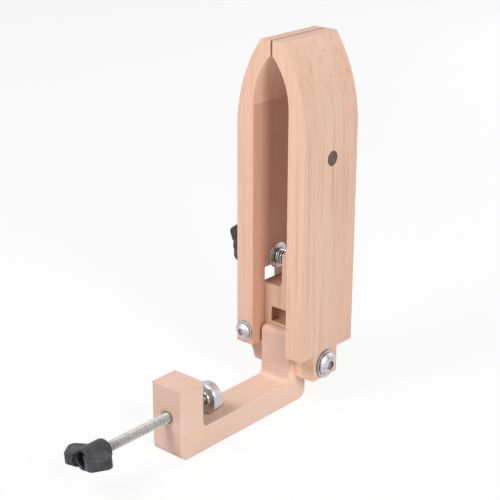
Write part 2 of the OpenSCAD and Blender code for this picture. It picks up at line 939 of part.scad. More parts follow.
// Metal disc that presses on the table, free to turn on the end of the screw
module pressure_disc() {
    depth = screw_end_y + run_fit - boss_y;
    color(steel_colour)
    difference() {
        translate([0, boss_y, screw_h])
        rotate([-90, 0, 0])
        rotate_extrude($fn = round_fn)
        polygon([
            [0, 0],
            [boss_r, 0],
            [boss_r, boss_h],
            [disc_r - disc_chamfer, boss_h],
            [disc_r, boss_h + disc_chamfer],
            [disc_r, boss_h + disc_t],
            [0, boss_h + disc_t]
        ]);
        rod_y(boss_y - over, boss_y + depth, bolt_r + run_fit, 0, screw_h);
        rod_y(clip_y - run_fit, clip_y + clip_w + run_fit, clip_r + run_fit, 0, screw_h);
    }
}

// Clip inside the disc that holds it on the screw
module disc_clip() {
    color(steel_colour)
    difference() {
        rod_y(clip_y, clip_y + clip_w, clip_r, 0, screw_h);
        rod_y(clip_y - over, clip_y + clip_w + over, groove_r + run_fit, 0, screw_h);
    }
}

fixed_jaw();
moving_jaw();
centre_block();
block_dowels();
arm();
pivot_bolt();
pivot_washer();
pivot_insert();
hinge_screw();
hinge_washers();
hinge_nut();
jaw_bolt();
jaw_knob();
jaw_knob_nut();
knob_washer();
spring_washer();
spring();
jaw_insert();
needle_magnet();
clamp_screw();
clamp_insert();
clamp_knob();
clamp_knob_nut();
pressure_disc();
disc_clip();
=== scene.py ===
import math

import bmesh
import bpy
from bpy.props import FloatProperty, FloatVectorProperty, IntProperty, PointerProperty
from bpy.types import Operator, Panel, PropertyGroup
from mathutils import Matrix, Vector


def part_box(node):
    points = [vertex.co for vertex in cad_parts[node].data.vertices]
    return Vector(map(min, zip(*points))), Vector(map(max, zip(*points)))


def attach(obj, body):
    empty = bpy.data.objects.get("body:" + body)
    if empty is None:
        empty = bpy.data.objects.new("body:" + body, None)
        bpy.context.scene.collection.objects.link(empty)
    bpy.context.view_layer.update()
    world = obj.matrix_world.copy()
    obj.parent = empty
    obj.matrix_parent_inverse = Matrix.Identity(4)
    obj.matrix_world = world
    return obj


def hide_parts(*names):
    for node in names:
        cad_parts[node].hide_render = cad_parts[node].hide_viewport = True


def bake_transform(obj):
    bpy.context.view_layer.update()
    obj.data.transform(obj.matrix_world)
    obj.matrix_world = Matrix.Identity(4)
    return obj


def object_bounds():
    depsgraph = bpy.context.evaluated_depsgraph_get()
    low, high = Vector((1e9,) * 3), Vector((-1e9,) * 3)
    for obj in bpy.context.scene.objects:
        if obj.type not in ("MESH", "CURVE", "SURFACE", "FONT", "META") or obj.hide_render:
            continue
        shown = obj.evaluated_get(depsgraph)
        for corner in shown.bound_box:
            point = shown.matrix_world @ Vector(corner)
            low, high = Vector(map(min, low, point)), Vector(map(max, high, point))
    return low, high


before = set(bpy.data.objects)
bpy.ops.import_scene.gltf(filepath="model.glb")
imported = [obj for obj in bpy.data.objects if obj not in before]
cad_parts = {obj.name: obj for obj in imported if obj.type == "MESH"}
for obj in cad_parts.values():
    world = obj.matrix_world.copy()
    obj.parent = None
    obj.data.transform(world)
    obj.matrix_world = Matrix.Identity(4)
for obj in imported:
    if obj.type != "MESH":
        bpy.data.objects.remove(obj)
CAD_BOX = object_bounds()

bl_info = {
    "name": "Leather stitching clamp",
    "version": (1, 0, 0),
    "blender": (4, 5, 0),
    "location": "3D View > Sidebar > Stitching clamp",
    "description": "Dresses a wooden clamp for hand stitching leather: beech, steel, threads, knobs and spring",
    "category": "Object",
}

MM = 0.001


def swatch(*steps):
    """Scene colour of a swatch that is given as red, green and blue in steps from 0 to 255."""
    shares = [step / 255 for step in steps]
    return tuple(share / 12.92 if share <= 0.04045 else ((share + 0.055) / 1.055) ** 2.4 for share in shares)


def middle(node):
    """Middle of a CAD node's box, in metres."""
    low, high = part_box(node)
    return (low + high) / 2


BOLT_AXIS = middle("knob_washer")
SCREW_AXIS = middle("pressure_disc")
PIVOT_AXIS = middle("pivot_washer")
HINGE_AXIS = middle("hinge_screw")
KNOB_BASE_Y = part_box("clamp_knob")[1].y
KNOB_BASE_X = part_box("jaw_knob")[1].x
ROD_RADIUS = (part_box("clamp_screw")[1].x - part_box("clamp_screw")[0].x) / 2
ROD_SLACK = 0.02 * MM

# Painted shade: places where the wood is painted darker as the shade in recesses, each as the middle of a box in
# mm, half its size and how dark it is
POCKET_SHADE = (
    ((0, 9.1, 52.05), (8.6, 3.15, 5.6), 0.75),  # the pocket in front of the block, painted shade in the recess
    ((-7.7, 16.5, 71.95), (8.6, 10.9, 1.75), 0.75),  # the block's shoulder, painted shade in the notch at its top edge
)
# Painted shade inside the jaws, given the same way
JAW_INSIDE_SHADE = (
    ((0, 17.65, 213.5), (1.1, 24, 4.6), 0.65),  # the grips, painted darker as the shade in the deep gap between the jaws
    ((0, 17.65, 105), (13, 23.4, 75), 0.38),  # the flat insides below the arch, painted darker as the shade between the jaws, which also shows the crease at the arch
)
DARK_BORDER = 0.3  # mm in which such a place fades out

# The photograph's camera, fitted to the sizes printed there and to the straight edges of the wood
CAMERA_PLACE = (0.4536, -0.53855, 0.3673)
CAMERA_FORWARD = (-0.6161, 0.7006, -0.3600)
CAMERA_RIGHT = (0.751, 0.660, 0.0)
CAMERA_ROLL = math.radians(0.206)
CAMERA_LENS = 95.05  # mm, on a sensor 36 mm wide


# Settings a user would change

class WoodSettings(PropertyGroup):
    """Colours and grain of the beech parts."""
    light_wood: FloatVectorProperty(
        name="Light wood", description="Colour of the pale early wood",
        subtype="COLOR", size=3, min=0, max=1, default=swatch(233, 197, 173))
    pink_wood: FloatVectorProperty(
        name="Pink wood", description="Colour that the wood drifts towards from place to place",
        subtype="COLOR", size=3, min=0, max=1, default=swatch(230, 185, 162))
    dark_wood: FloatVectorProperty(
        name="Dark wood", description="Colour of the late wood that ends each growth ring",
        subtype="COLOR", size=3, min=0, max=1, default=swatch(204, 150, 124))
    fleck: FloatVectorProperty(
        name="Ray fleck", description="Colour of the short flecks in the grain",
        subtype="COLOR", size=3, min=0, max=1, default=swatch(172, 122, 98))
    # Colour of the painted shade in the block's pocket and shoulder
    pocket_shade: FloatVectorProperty(
        name="Scorched wood", description="Colour of the block's pocket and shoulder",
        subtype="COLOR", size=3, min=0, max=1, default=swatch(172, 122, 98))
    # Colour of the painted shade inside the jaws and on their grips
    inside_shade: FloatVectorProperty(
        name="Inside shade", description="Colour that the insides and the grips of the jaws drift towards",
        subtype="COLOR", size=3, min=0, max=1, default=swatch(179, 119, 82))
    arm_wood: FloatVectorProperty(
        name="Arm wood", description="Colour of the paler early wood in the arm",
        subtype="COLOR", size=3, min=0, max=1, default=swatch(237, 206, 187))
    end_wood: FloatVectorProperty(
        name="End grain", description="Colour that the wood takes where its grain meets the surface end on",
        subtype="COLOR", size=3, min=0, max=1, default=swatch(211, 171, 160))
    ring_width: FloatProperty(
        name="Ring width", description="Width of one growth ring",
        unit="LENGTH", min=0.5 * MM, max=8 * MM, default=2.6 * MM)
    edge_round: FloatProperty(
        name="Edge rounding", description="Width of the sanded edge of each wooden part",
        unit="LENGTH", min=0, max=1.5 * MM, default=0.42 * MM)


class MetalSettings(PropertyGroup):
    """Colours and edges of the steel and brass parts."""
    steel: FloatVectorProperty(
        name="Steel", description="Colour of the bright plated steel",
        subtype="COLOR", size=3, min=0, max=1, default=swatch(206, 201, 203))
    rod_steel: FloatVectorProperty(
        name="Rod steel", description="Colour of the threaded rods",
        subtype="COLOR", size=3, min=0, max=1, default=swatch(223, 222, 219))
    # Colour of the painted shade in the roots of the threads, round the jaw bolt on its washers and round the bores
    # of the inserts; smudges also take it
    grime_and_shade: FloatVectorProperty(
        name="Grime and shade", description="Colour of the roots of the threads and of the edges of the inserts",
        subtype="COLOR", size=3, min=0, max=1, default=swatch(70, 67, 66))
    # Colour of real tarnish, and also of the painted shade on the rims of the pivot and hinge and of the jaw bolt,
    # painted dark as shade between the spring's coils
    tarnish_and_shade: FloatVectorProperty(
        name="Tarnish", description="Colour of the smudges and turning marks",
        subtype="COLOR", size=3, min=0, max=1, default=swatch(128, 122, 124))
    brass: FloatVectorProperty(
        name="Brass", description="Colour of the threaded inserts",
        subtype="COLOR", size=3, min=0, max=1, default=swatch(194, 176, 140))
    edge_round: FloatProperty(
        name="Edge rounding", description="Width of the broken edges of the metal parts",
        unit="LENGTH", min=0, max=0.5 * MM, default=0.18 * MM)


class ThreadSettings(PropertyGroup):
    """Sizes of the thread on the jaw bolt and the clamp screw."""
    radius: FloatProperty(
        name="Rod radius", description="Radius over the crests of the thread",
        unit="LENGTH", min=2 * MM, max=4 * MM, default=ROD_RADIUS - ROD_SLACK)
    pitch: FloatProperty(
        name="Pitch", description="Rise of the thread in one turn",
        unit="LENGTH", min=0.5 * MM, max=2 * MM, default=1 * MM)
    depth: FloatProperty(
        name="Thread depth", description="Depth of the thread from crest to root",
        unit="LENGTH", min=0.1 * MM, max=1 * MM, default=0.5 * MM)


class KnobSettings(PropertyGroup):
    """Sizes and colour of the two winged knobs."""
    plastic: FloatVectorProperty(
        name="Plastic", description="Colour of the moulded plastic",
        subtype="COLOR", size=3, min=0, max=1, default=swatch(37, 37, 42))
    hub_length: FloatProperty(
        name="Hub length", description="Length of the hub along its axis",
        unit="LENGTH", min=10 * MM, max=24 * MM, default=16 * MM)
    hub_radius: FloatProperty(
        name="Hub radius", description="Radius of the straight part of the hub",
        unit="LENGTH", min=5 * MM, max=9 * MM, default=6.4 * MM)
    wing_reach: FloatProperty(
        name="Wing reach", description="Distance from the axis to the tip of a wing",
        unit="LENGTH", min=12 * MM, max=22 * MM, default=15.6 * MM)
    wing_far: FloatProperty(
        name="Wing height", description="Height of the far edge of the wings over the base",
        unit="LENGTH", min=14 * MM, max=26 * MM, default=19.6 * MM)
    dish_depth: FloatProperty(
        name="Dish depth", description="Depth of the round dish in the end of the hub",
        unit="LENGTH", min=2 * MM, max=8 * MM, default=4.5 * MM)
    dish_radius: FloatProperty(
        name="Dish radius", description="Radius of the round dish in the end of the hub",
        unit="LENGTH", min=3 * MM, max=5 * MM, default=4.4 * MM)
    jaw_turn: FloatProperty(
        name="Jaw knob turn", description="Turn of the jaw knob's wings about its axis",
        subtype="ANGLE", default=math.radians(-12))
    clamp_turn: FloatProperty(
        name="Clamp knob turn", description="Turn of the clamp knob's wings about its axis",
        subtype="ANGLE", default=math.radians(6))


class SpringSettings(PropertyGroup):
    """Sizes of the spring on the jaw bolt."""
    wire: FloatProperty(
        name="Wire", description="Thickness of the spring wire",
        unit="LENGTH", min=0.5 * MM, max=1.5 * MM, default=0.9 * MM)
    sag: FloatProperty(
        name="Sag", description="How far the coil hangs below the middle of the bolt that it is loose on",
        unit="LENGTH", min=0, max=0.5 * MM, default=0.34 * MM)
    open_turns: IntProperty(
        name="Open turns", description="Turns of wire that stand apart from each other",
        min=2, max=8, default=5)
    closed_turns: IntProperty(
        name="Closed turns", description="Turns that lie on each other at each end",
        min=0, max=2, default=1)


class StageSettings(PropertyGroup):
    """Light and floor round the clamp."""
    key_power: FloatProperty(
        name="Key light", description="Power of the soft light at the right of the camera",
        unit="POWER", min=0, max=100, default=10.6)
    fill_power: FloatProperty(
        name="Fill light", description="Power of the soft light over the left of the camera",
        unit="POWER", min=0, max=100, default=11.2)
    top_power: FloatProperty(
        name="Top light", description="Power of the soft light over the clamp",
        unit="POWER", min=0, max=100, default=1.0)
    back_power: FloatProperty(
        name="Back light", description="Power of the soft light behind the clamp",
        unit="POWER", min=0, max=100, default=7)
    room: FloatProperty(
        name="Room light", description="Strength of the even light from all round",
        min=0, max=2, default=0.07)
    floor: FloatVectorProperty(
        name="Floor", description="Colour of the floor",
        subtype="COLOR", size=3, min=0, max=1, default=swatch(246, 246, 246))


# Small helpers for shader trees

class Tree:
    """Adds and joins the nodes of one shader tree."""

    def __init__(self, tree):
        self.tree = tree

    def add(self, kind, **settings):
        """New node of that kind, with its settings."""
        node = self.tree.nodes.new(kind)
        for name, value in settings.items():
            setattr(node, name, value)
        return node

    def put(self, value, socket):
        """Joins an output to a socket, or types a plain value into it."""
        if isinstance(value, bpy.types.NodeSocket):
            self.tree.links.new(value, socket)
        elif value is not None:
            socket.default_value = value

    def math(self, operation, *values, clamp=False):
        """Output of a Math node over up to three values."""
        node = self.add("ShaderNodeMath", operation=operation, use_clamp=clamp)
        for value, socket in zip(values, node.inputs):
            self.put(value, socket)
        return node.outputs[0]

    def vector(self, operation, a, b=None, scale=None):
        """Output of a Vector Math node."""
        node = self.add("ShaderNodeVectorMath", operation=operation)
        self.put(a, node.inputs[0])
        self.put(b, node.inputs[1])
        self.put(scale, node.inputs[3])
        return node.outputs["Value" if operation in ("LENGTH", "DOT_PRODUCT") else "Vector"]

    def noise(self, place, scale, detail=2.0, roughness=0.5):
        """Soft noise from 0 to 1 at a place."""
        node = self.add("ShaderNodeTexNoise")
        self.put(place, node.inputs["Vector"])
        self.put(scale, node.inputs["Scale"])
        self.put(detail, node.inputs["Detail"])
        self.put(roughness, node.inputs["Roughness"])
        return node.outputs["Fac"]

    def remap(self, value, low, high, to_low=0.0, to_high=1.0):
        """Smooth step of a value from one range to another."""
        node = self.add("ShaderNodeMapRange", interpolation_type="SMOOTHSTEP")
        for number, socket in zip((value, low, high, to_low, to_high), node.inputs):
            self.put(number, socket)
        return node.outputs[0]

    def blend(self, share, first, second):
        """Colour between two colours."""
        node = self.add("ShaderNodeMix", data_type="RGBA")
        for value, socket in ((share, "Factor"), (first, 6), (second, 7)):
            self.put(value, node.inputs[socket])
        return node.outputs[2]


COLOR, NUMBER, VECTOR = "NodeSocketColor", "NodeSocketFloat", "NodeSocketVector"


def new_group(name, inputs):
    """Shader node group with inputs given as (name, kind, default), which gives colour, roughness and height."""
    group = bpy.data.node_groups.new(name, "ShaderNodeTree")
    for label, kind, default in inputs:
        socket = group.interface.new_socket(name=label, in_out="INPUT", socket_type=kind)
        if default is not None:
            socket.default_value = default
    for label, kind in (("Color", COLOR), ("Roughness", NUMBER), ("Height", NUMBER)):
        group.interface.new_socket(name=label, in_out="OUTPUT", socket_type=kind)
    tree = Tree(group)
    return group, tree, tree.add("NodeGroupInput"), tree.add("NodeGroupOutput")


def use_group(tree, group, **values):
    """Places a group in a material with its own values."""
    node = tree.add("ShaderNodeGroup", node_tree=group)
    for label, value in values.items():
        tree.put(value, node.inputs[label.replace("_", " ")])
    return node


def new_material(name):
    """Material with a Principled shader, and its tree."""
    material = bpy.data.materials.new(name)
    material.use_nodes = True
    material.node_tree.nodes.clear()
    tree = Tree(material.node_tree)
    shader = tree.add("ShaderNodeBsdfPrincipled")
    out = tree.add("ShaderNodeOutputMaterial")
    tree.put(shader.outputs["BSDF"], out.inputs["Surface"])
    return material, tree, shader


def wire_up(tree, shader, group, strength, depth):
    """Feeds a group's colour, roughness and height, in shares of depth metres, to the shader."""
    tree.put(group.outputs["Color"], shader.inputs["Base Color"])
    tree.put(group.outputs["Roughness"], shader.inputs["Roughness"])
    bump = tree.add("ShaderNodeBump")
    bump.inputs["Strength"].default_value = strength
    bump.inputs["Distance"].default_value = depth
    tree.put(group.outputs["Height"], bump.inputs["Height"])
    tree.put(bump.outputs["Normal"], shader.inputs["Normal"])


def place_in_mm(tree, origin=(0, 0, 0), axis="Z"):
    """Place on the part in millimetres from origin, with the named axis turned onto Z."""
    coords = tree.add("ShaderNodeTexCoord")
    moved = tree.vector("SUBTRACT", coords.outputs["Object"], tuple(origin))
    scaled = tree.vector("SCALE", moved, scale=1 / MM)
    if axis == "Z":
        return scaled
    parts = tree.add("ShaderNodeSeparateXYZ")
    tree.put(scaled, parts.inputs[0])
    joined = tree.add("ShaderNodeCombineXYZ")
    order = {"X": "YZX", "Y": "ZXY"}[axis]
    for letter, socket in zip(order, joined.inputs):
        tree.put(parts.outputs[letter], socket)
    return joined.outputs[0]


def facing(tree, axis):
    """How squarely the surface faces along the named axis, from 0 to 1."""
    coords = tree.add("ShaderNodeTexCoord")
    along = {"X": (1, 0, 0), "Y": (0, 1, 0), "Z": (0, 0, 1)}[axis]
    return tree.math("ABSOLUTE", tree.vector("DOT_PRODUCT", coords.outputs["Normal"], along))


# Effects that several materials share

# Noise cells in a millimetre of beech: twice across the grain, then along it
DRIFT_CELLS = (0.03, 0.03, 0.006)
SWAY_CELLS = (0.05, 0.05, 0.009)
STREAK_CELLS = (0.33, 0.33, 0.012)
FIBRE_CELLS = (2.4, 2.4, 0.09)
FLECK_CELLS = (0.62, 0.62, 0.17)
RING_SWAY = 9.0  # mm that a growth ring wanders
PINK_DRIFT = 0.35
DARK_FIBRES, LIGHT_FIBRES, FLECKS = 0.35, 0.3, 0.45
# On end grain the rings show more, the streaks less, and the end grain's colour comes in
END_RINGS, END_STREAKS, END_TINT = 0.8, -0.75, 0.5


def beech_grain():
    """Growth rings, streaks, fibres, end grain, flecks and painted shade in given places of beech, in mm with the
    grain along Z.
    """
    group, tree, given, result = new_group(
        "Beech grain",
        [("Place", VECTOR, None), ("Light wood", COLOR, None),
         ("Pink wood", COLOR, None), ("Dark wood", COLOR, None),
         ("Fleck", COLOR, None), ("End wood", COLOR, None),
         ("End grain", NUMBER, 0.0), ("Heart", VECTOR, None),
         ("Ring width", NUMBER, 2.6), ("Ring strength", NUMBER, 0.5),
         ("Pinkness", NUMBER, 0.5), ("Streak strength", NUMBER, 0.45),
         ("Scorch", NUMBER, 0.0), ("Scorched wood", COLOR, None)])
    place, end = given.outputs["Place"], given.outputs["End grain"]

    def grain_noise(cells, detail=2.0, roughness=0.5):
        """Noise that is drawn out along the grain."""
        return tree.noise(tree.vector("MULTIPLY", place, cells), 1.0, detail, roughness)

    # Late wood sets in slowly over each ring, ends at once, and is stronger in some years
    from_heart = tree.vector("MULTIPLY", tree.vector("SUBTRACT", place, given.outputs["Heart"]), (1, 1, 0))
    sway = tree.math("MULTIPLY", grain_noise(SWAY_CELLS), RING_SWAY)
    reach = tree.math("ADD", tree.vector("LENGTH", from_heart), sway)
    rings = tree.math("DIVIDE", reach, given.outputs["Ring width"])
    phase = tree.math("FRACT", rings)
    late = tree.math("MULTIPLY", tree.remap(phase, 0.25, 0.9), tree.remap(phase, 0.9, 1.0, 1.0, 0.0))
    year = tree.add("ShaderNodeTexWhiteNoise", noise_dimensions="1D")
    tree.put(tree.math("FLOOR", rings), year.inputs["W"])
    late = tree.math("MULTIPLY", late, tree.remap(year.outputs["Value"], 0.1, 1.0))
    shown = tree.math("MULTIPLY", tree.math("MULTIPLY_ADD", end, END_RINGS, 1.0), given.outputs["Ring strength"])
    late = tree.math("MULTIPLY", late, shown, clamp=True)

    # A fleck is a dot in the middle of about one cell in five
    cells = tree.add("ShaderNodeTexVoronoi")
    tree.put(tree.vector("MULTIPLY", place, FLECK_CELLS), cells.inputs["Vector"])
    tree.put(1.0, cells.inputs["Scale"])
    chosen = tree.add("ShaderNodeSeparateColor")
    tree.put(cells.outputs["Color"], chosen.inputs[0])
    dot = tree.remap(cells.outputs["Distance"], 0.06, 0.2, 1.0, 0.0)
    dot = tree.math("MULTIPLY", dot, tree.remap(chosen.outputs[0], 0.72, 0.92))

    fibre = grain_noise(FIBRE_CELLS, 3.0, 0.65)
    streak = tree.remap(grain_noise(STREAK_CELLS, 3.0, 0.6), 0.47, 0.75)
    streak = tree.math("MULTIPLY", streak, given.outputs["Streak strength"])
    streak = tree.math("MULTIPLY", streak, tree.math("MULTIPLY_ADD", end, END_STREAKS, 1.0))
    pink = tree.remap(grain_noise(DRIFT_CELLS), 0.32, 0.68, -PINK_DRIFT, PINK_DRIFT)
    pink = tree.math("ADD", pink, given.outputs["Pinkness"], clamp=True)
    color = given.outputs["Light wood"]
    for share, tint in (
        (pink, "Pink wood"),
        (late, "Dark wood"),
        (streak, "Dark wood"),
        (tree.remap(fibre, 0.52, 0.8, 0.0, DARK_FIBRES), "Dark wood"),
        (tree.remap(fibre, 0.5, 0.25, 0.0, LIGHT_FIBRES), "Light wood"),
        (tree.math("MULTIPLY", end, END_TINT), "End wood"),
        (tree.math("MULTIPLY", dot, FLECKS), "Fleck"),
        # the painted shade of the dark places
        (given.outputs["Scorch"], "Scorched wood"),
    ):
        color = tree.blend(share, color, given.outputs[tint])
    tree.put(color, result.inputs["Color"])
    tree.put(tree.math("MULTIPLY_ADD", fibre, 0.16, 0.46), result.inputs["Roughness"])
    ridge = tree.math("MULTIPLY_ADD", late, 0.35, tree.math("MULTIPLY", fibre, 0.65))
    tree.put(tree.math("SUBTRACT", ridge, tree.math("MULTIPLY", dot, 0.4)), result.inputs["Height"])
    return group


# Marks on metal: noise cells in a millimetre, and how much of the darker colour the marks and the painted shade
# round the axis take
SMUDGE_CELLS, SCRATCH_CELLS = 0.35, (0.6, 3.0, 5.0)
MARKED, ROOT_SHADE = 0.3, 0.85


def turned_metal():
    """Turning marks round Z, handling marks, tarnishing, and painted shade round the axis and on the rims, in
    millimetres.
    """
    group, tree, given, result = new_group(
        "Turned metal",
        [("Place", VECTOR, None), ("Metal", COLOR, None),
         ("Tarnish", COLOR, None), ("Fineness", NUMBER, 3.0),
         ("Wear", NUMBER, 0.3), ("Gloss", NUMBER, 0.25),
         ("Rim", NUMBER, 0.0), ("Root radius", NUMBER, -2.0),
         ("Crest radius", NUMBER, -1.0)])
    place = given.outputs["Place"]
    parts = tree.add("ShaderNodeSeparateXYZ")
    tree.put(place, parts.inputs[0])
    across = tree.vector("LENGTH", tree.vector("MULTIPLY", place, (1, 1, 0)))
    track = tree.add("ShaderNodeCombineXYZ")
    tree.put(tree.math("MULTIPLY", across, given.outputs["Fineness"]), track.inputs[0])
    tree.put(tree.math("MULTIPLY", parts.outputs["Z"], given.outputs["Fineness"]), track.inputs[1])
    marks = tree.noise(track.outputs[0], 1.0, 2.0, 0.6)
    smudge = tree.noise(place, SMUDGE_CELLS, 3.0, 0.6)
    scratch = tree.noise(tree.vector("MULTIPLY", place, SCRATCH_CELLS), 1.0, 2.0, 0.7)
    dull_and_shade = tree.math("MULTIPLY", tree.remap(smudge, 0.45, 0.75), given.outputs["Wear"])
    dull_and_shade = tree.math("ADD", dull_and_shade, tree.remap(marks, 0.5, 0.75, 0.0, MARKED), clamp=True)
    # Painted shade round the axis: in thread roots, round the bolt and round bores
    grime_and_shade = tree.remap(across, given.outputs["Root radius"], given.outputs["Crest radius"], ROOT_SHADE, 0.0)
    # The rim mask paints shade and dark reflection on the turned sides
    dull_and_shade = tree.math("ADD", dull_and_shade, tree.math("MAXIMUM", grime_and_shade, given.outputs["Rim"]), clamp=True)
    tree.put(tree.blend(dull_and_shade, given.outputs["Metal"], given.outputs["Tarnish"]), result.inputs["Color"])
    rough = tree.math("MULTIPLY_ADD", smudge, 0.14, given.outputs["Gloss"])
    tree.put(tree.math("MULTIPLY_ADD", scratch, 0.08, rough), result.inputs["Roughness"])
    height = tree.math("MULTIPLY_ADD", scratch, 0.25, tree.math("MULTIPLY", marks, 0.75))
    tree.put(height, result.inputs["Height"])
    return group


DUST_CELLS = 0.22  # noise cells in a millimetre of dust
GRAIN_DUST = 0.14  # share of dust that the texture holds


def fine_texture():
    """Fine moulded or sintered texture with faint dust, in millimetres."""
    group, tree, given, result = new_group(
        "Fine texture",
        [("Place", VECTOR, None), ("Surface", COLOR, None),
         ("Dust", COLOR, None), ("Dustiness", NUMBER, 0.2),
         ("Grain", NUMBER, 3.0), ("Dullness", NUMBER, 0.4)])
    place = given.outputs["Place"]
    grain = tree.noise(place, given.outputs["Grain"], 3.0, 0.6)
    cloud = tree.noise(place, DUST_CELLS, 3.0, 0.6)
    dusty = tree.math("MULTIPLY", tree.remap(cloud, 0.42, 0.72), given.outputs["Dustiness"])
    dusty = tree.math("ADD", dusty, tree.remap(grain, 0.55, 0.8, 0.0, GRAIN_DUST), clamp=True)
    tree.put(tree.blend(dusty, given.outputs["Surface"], given.outputs["Dust"]), result.inputs["Color"])
    rough = tree.math("MULTIPLY_ADD", grain, 0.2, given.outputs["Dullness"])
    tree.put(tree.math("MULTIPLY_ADD", dusty, 0.3, rough, clamp=True), result.inputs["Roughness"])
    tree.put(grain, result.inputs["Height"])
    return group


def shared(name, build):
    """The node group of that name, built the first time it is asked for."""
    return bpy.data.node_groups.get(name) or build()


# Materials

def inside_box(tree, place, middle_mm, half_mm, value):
    """The value inside a box given in mm, fading to 0 towards its walls."""
    away = tree.vector("ABSOLUTE", tree.vector("SUBTRACT", place, middle_mm))
    parts = tree.add("ShaderNodeSeparateXYZ")
    tree.put(tree.vector("SUBTRACT", away, half_mm), parts.inputs[0])
    most = tree.math("MAXIMUM", parts.outputs["X"], tree.math("MAXIMUM", parts.outputs["Y"], parts.outputs["Z"]))
    return tree.remap(most, 0.0, -DARK_BORDER, 0.0, value)


def beech(name, wood, light, axis, heart, pinkness, rings=0.2, streaks=0.45, shade_places=(), dark=(0, 0, 0)):
    """Sanded beech with its grain along the named axis and the tree's heart at a place in mm.

    The dark places are painted shade, and take on the colour named dark.
    """
    material, tree, shader = new_material(name)
    place = place_in_mm(tree, axis=axis)
    # Painted shade from the dark places
    shade_share = 0.0
    for middle_mm, half_mm, darkness in shade_places:
        shade_share = tree.math("MAXIMUM", inside_box(tree, place, middle_mm, half_mm, darkness), shade_share)
    grain = use_group(
        tree, shared("Beech grain", beech_grain), Place=place, Heart=heart, Ring_width=wood.ring_width / MM,
        Ring_strength=rings, Streak_strength=streaks, Pinkness=pinkness, Scorch=shade_share,
        End_grain=tree.remap(facing(tree, axis), 0.45, 0.95),
        Light_wood=(*light, 1), Pink_wood=(*wood.pink_wood, 1), Dark_wood=(*wood.dark_wood, 1),
        Fleck=(*wood.fleck, 1), End_wood=(*wood.end_wood, 1), Scorched_wood=(*dark, 1))
    wire_up(tree, shader, grain, strength=0.35, depth=0.12 * MM)
    shader.inputs["Specular IOR Level"].default_value = 0.35
    return material


def metal(name, color, tarnish_and_shade, origin, axis, fineness=3.0, wear=0.3, gloss=0.24, rim=0.0, roots=(-2, -1),
          turned=0.0):
    """Metal turned about an axis through origin; rim paints shade and dark reflection on its sides.

    Roots are the radii in mm between which the painted shade round the axis thins out, and turned draws the gloss
    out round the axis.
    """
    material, tree, shader = new_material(name)
    # Rim paints shade and dark reflection on the sides, and the roots paint shade round the axis
    marks = use_group(
        tree, shared("Turned metal", turned_metal), Place=place_in_mm(tree, origin, axis),
        Metal=(*color, 1), Tarnish=(*tarnish_and_shade, 1), Fineness=fineness, Wear=wear, Gloss=gloss,
        Rim=tree.remap(facing(tree, axis), 0.85, 0.2, 0.0, rim), Root_radius=roots[0], Crest_radius=roots[1])
    wire_up(tree, shader, marks, strength=0.3, depth=0.03 * MM)
    shader.inputs["Metallic"].default_value = 1.0
    if turned:
        around = tree.add("ShaderNodeTangent", direction_type="RADIAL", axis=axis)
        tree.put(around.outputs["Tangent"], shader.inputs["Tangent"])
        shader.inputs["Anisotropic"].default_value = turned
        shader.inputs["Anisotropic Rotation"].default_value = 0.25  # a quarter turn
    return material


def matt(name, color, dust, dustiness, grain, dullness, metallic=0.0):
    """Plastic or dark metal with a fine texture."""
    material, tree, shader = new_material(name)
    surface = use_group(
        tree, shared("Fine texture", fine_texture), Place=place_in_mm(tree),
        Surface=(*color, 1), Dust=(*dust, 1), Dustiness=dustiness, Grain=grain, Dullness=dullness)
    wire_up(tree, shader, surface, strength=0.3, depth=0.05 * MM)
    shader.inputs["Metallic"].default_value = metallic
    return material


WELD_REACH = 0.002 * MM  # corners nearer than this are one corner
FLAT_WITHIN = math.radians(0.3)  # faces that bend by less are one face
EDGE_OVER = math.radians(32)  # edges that bend by more are broken


def dress(node, material, edge, steps=3):
    """Gives a CAD node its material and broken edges."""
    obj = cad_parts[node]
    for slot in obj.material_slots:
        slot.link = "OBJECT"
        slot.material = material
    weld = obj.modifiers.new("Joined corners", "WELD")
    weld.merge_threshold = WELD_REACH
    flat = obj.modifiers.new("Whole faces", "DECIMATE")
    flat.decimate_type = "DISSOLVE"
    flat.angle_limit = FLAT_WITHIN
    soft = obj.modifiers.new("Broken edges", "BEVEL")
    soft.width = edge
    soft.segments = steps
    soft.limit_method = "ANGLE"
    soft.angle_limit = EDGE_OVER
    soft.use_clamp_overlap = True
    soft.miter_outer = "MITER_ARC"
    shade = obj.modifiers.new("Smooth shading", "WEIGHTED_NORMAL")
    shade.keep_sharp = False
    shade.weight = 80


# Mesh building

def object_from(name, bm):
    """Object in the scene made from a finished mesh."""
    mesh = bpy.data.meshes.new(name)
    bm.to_mesh(mesh)
    bm.free()
    obj = bpy.data.objects.new(name, mesh)
    bpy.context.scene.collection.objects.link(obj)
    return obj


def smooth_over(mesh, crease):
    """Shades a mesh smooth, but keeps edges crisp that bend by more than that many degrees."""
    mesh.polygons.foreach_set("use_smooth", [True] * len(mesh.polygons))
    mesh.set_sharp_from_angle(angle=math.radians(crease))


def new_piece(name, bm, material):
    """Shaded object with its material, made from a finished mesh."""
    obj = object_from(name, bm)
    smooth_over(obj.data, crease=40)
    obj.data.materials.append(material)
    return obj


def lathe(bm, profile, place, around):
    """Closed turned solid from (radius, height) points that start and end on the axis."""
    rings = []
    for radius, height in profile:
        if radius == 0:
            rings.append([bm.verts.new(place @ Vector((0, 0, height)))])
            continue
        turns = [math.tau * k / around for k in range(around)]
        rings.append([
            bm.verts.new(place @ Vector((radius * math.cos(t), radius * math.sin(t), height))) for t in turns
        ])
    for low, high in zip(rings, rings[1:]):
        for k in range(around):
            after = (k + 1) % around
            if len(low) == 1:
                bm.faces.new((low[0], high[after], high[k]))
            elif len(high) == 1:
                bm.faces.new((low[k], low[after], high[0]))
            else:
                bm.faces.new((low[k], low[after], high[after], high[k]))


# Corners of the thread within one pitch, each as a share of the pitch and a share of the depth
THREAD_CORNERS = ((0.0, 0.0), (0.14, 0.0), (0.5, 1.0), (0.66, 1.0))
THREAD_STEPS = 24


